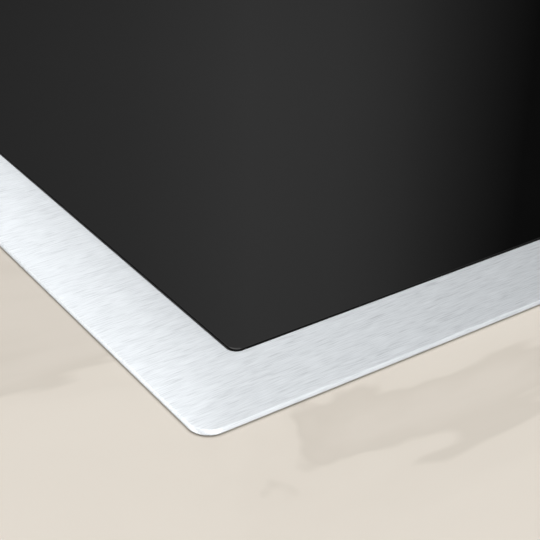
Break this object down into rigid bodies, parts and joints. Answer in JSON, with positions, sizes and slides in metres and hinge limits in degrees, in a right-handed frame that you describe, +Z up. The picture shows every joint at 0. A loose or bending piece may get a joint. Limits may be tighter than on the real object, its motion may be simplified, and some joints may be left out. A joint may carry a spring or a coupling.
{
  "type": "drop-in induction cooktop",
  "caption": "Drop-in electric induction cooktop: black glass-ceramic top flush in a wide brushed-steel trim frame, over a sheet-metal burner box with sprung coils and blowers.",
  "frame": {"origin": "under the middle of the cooktop, on the underside of the burner box's floor", "axes": "+Z up, front edge towards -Y, left to right along +X"},
  "size_m": [0.768, 0.527, 0.064],
  "materials": {
    "brushed_trim": "brushed along the front edge, satin",
    "ceramic_glass": "polished black glass-ceramic",
    "black_silicone": "matte silicone",
    "foam_gasket": "closed-cell foam strip",
    "galvanised_sheet": "galvanised sheet with a fine spangle",
    "zinc_screw": "bright zinc plated",
    "spring_steel": "rolled spring steel",
    "tray_aluminium": "rolled sheet",
    "mica_sheet": "pressed mica paper",
    "litz_copper": "enamelled stranded wire",
    "former_plastic": "glass-filled moulding",
    "ferrite": "sintered, matte",
    "sensor_capsule": "ceramic capsule",
    "circuit_board": "solder mask over glass fibre",
    "board_parts": "moulded component cases",
    "sink_aluminium": "extruded",
    "fan_plastic": "moulded black plastic",
    "rotor_plastic": "moulded black plastic",
    "shaft_steel": "ground steel",
    "motor_laminations": "stacked laminations and winding",
    "bearing_bronze": "sintered bronze",
    "control_plastic": "moulded white plastic",
    "touch_spring": "gold-flashed spring contact",
    "display_plastic": "dark light-pipe block",
    "brass_spacer": "turned",
    "terminal_plastic": "moulded flame-retardant plastic",
    "block_plastic": "moulded terminal strip",
    "gland_plastic": "moulded nylon",
    "cable_jacket": "flat ribbon and insulated leads"
  },
  "bodies": {
    "hob": {"trim_frame": "brushed_trim", "glass_top": "ceramic_glass", "glass_seal": "black_silicone", "worktop_gasket": "foam_gasket", "burner_box": "galvanised_sheet", "side_screws": "zinc_screw", "tray_posts": "zinc_screw", "tray_springs_left": "spring_steel", "tray_springs_right": "spring_steel", "power_board_left": "circuit_board", "power_parts_left": "board_parts", "heat_sink_left": "sink_aluminium", "fan_housing_left": "fan_plastic", "power_board_right": "circuit_board", "power_parts_right": "board_parts", "heat_sink_right": "sink_aluminium", "fan_housing_right": "fan_plastic", "fan_covers": "fan_plastic", "fan_motors": "motor_laminations", "fan_bearings": "bearing_bronze", "control_housing": "control_plastic", "control_board": "circuit_board", "touch_springs": "touch_spring", "displays": "display_plastic", "filter_board": "circuit_board", "filter_parts": "board_parts", "board_spacers": "brass_spacer", "board_screws": "zinc_screw", "terminal_box": "terminal_plastic", "terminal_block": "block_plastic", "cover_pin": "shaft_steel", "cable_gland": "gland_plastic", "internal_cables": "cable_jacket"},
    "tray_left": {"coil_tray_left": "tray_aluminium", "mica_front_left": "mica_sheet", "winding_front_left": "litz_copper", "former_front_left": "former_plastic", "mica_rear_left": "mica_sheet", "winding_rear_left": "litz_copper", "former_rear_left": "former_plastic", "ferrites_left": "ferrite", "sensors_left": "sensor_capsule"},
    "tray_right": {"coil_tray_right": "tray_aluminium", "mica_front_right": "mica_sheet", "winding_front_right": "litz_copper", "former_front_right": "former_plastic", "mica_rear_right": "mica_sheet", "winding_rear_right": "litz_copper", "former_rear_right": "former_plastic", "ferrites_right": "ferrite", "sensors_right": "sensor_capsule"},
    "rotor_left": {"fan_rotor_left": "rotor_plastic", "fan_shaft_left": "shaft_steel"},
    "rotor_right": {"fan_rotor_right": "rotor_plastic", "fan_shaft_right": "shaft_steel"},
    "body_clip_left_front": {"clip_left_front": "spring_steel"},
    "body_clip_left_rear": {"clip_left_rear": "spring_steel"},
    "body_clip_right_front": {"clip_right_front": "spring_steel"},
    "body_clip_right_rear": {"clip_right_rear": "spring_steel"},
    "cover": {"terminal_cover": "terminal_plastic"}
  },
  "joints": [
    {"name": "tray_left_travel", "type": "slide", "parent": "hob", "child": "tray_left", "axis": [0, 0, 1], "range_m": [-0.003, 0], "stiffness_N_per_m": 20000, "springref_m": 0.004, "deforming": ["tray_springs_left"]},
    {"name": "tray_right_travel", "type": "slide", "parent": "hob", "child": "tray_right", "axis": [0, 0, 1], "range_m": [-0.003, 0], "stiffness_N_per_m": 20000, "springref_m": 0.004, "deforming": ["tray_springs_right"]},
    {"name": "fan_left_spin", "type": "hinge", "parent": "hob", "child": "rotor_left", "pos_m": [-0.215, 0.128, 0.015], "axis": [0, 0, 1], "continuous": true},
    {"name": "fan_right_spin", "type": "hinge", "parent": "hob", "child": "rotor_right", "pos_m": [0.215, 0.128, 0.015], "axis": [0, 0, 1], "continuous": true},
    {"name": "clip_left_front_flex", "type": "hinge", "parent": "hob", "child": "body_clip_left_front", "pos_m": [-0.3545, -0.12, 0.014], "axis": [0, 1, 0], "range_deg": [0, 12], "stiffness_Nm_per_rad": 1.2, "springref_deg": -2.86},
    {"name": "clip_left_rear_flex", "type": "hinge", "parent": "hob", "child": "body_clip_left_rear", "pos_m": [-0.3545, 0.12, 0.014], "axis": [0, 1, 0], "range_deg": [0, 12], "stiffness_Nm_per_rad": 1.2, "springref_deg": -2.86},
    {"name": "clip_right_front_flex", "type": "hinge", "parent": "hob", "child": "body_clip_right_front", "pos_m": [0.3545, -0.12, 0.014], "axis": [0, -1, 0], "range_deg": [0, 12], "stiffness_Nm_per_rad": 1.2, "springref_deg": -2.86},
    {"name": "clip_right_rear_flex", "type": "hinge", "parent": "hob", "child": "body_clip_right_rear", "pos_m": [0.3545, 0.12, 0.014], "axis": [0, -1, 0], "range_deg": [0, 12], "stiffness_Nm_per_rad": 1.2, "springref_deg": -2.86},
    {"name": "terminal_cover_swing", "type": "hinge", "parent": "hob", "child": "cover", "pos_m": [-0.01, 0.2376, 0.0045], "axis": [-1, 0, 0], "range_deg": [0, 90]}
  ]
}
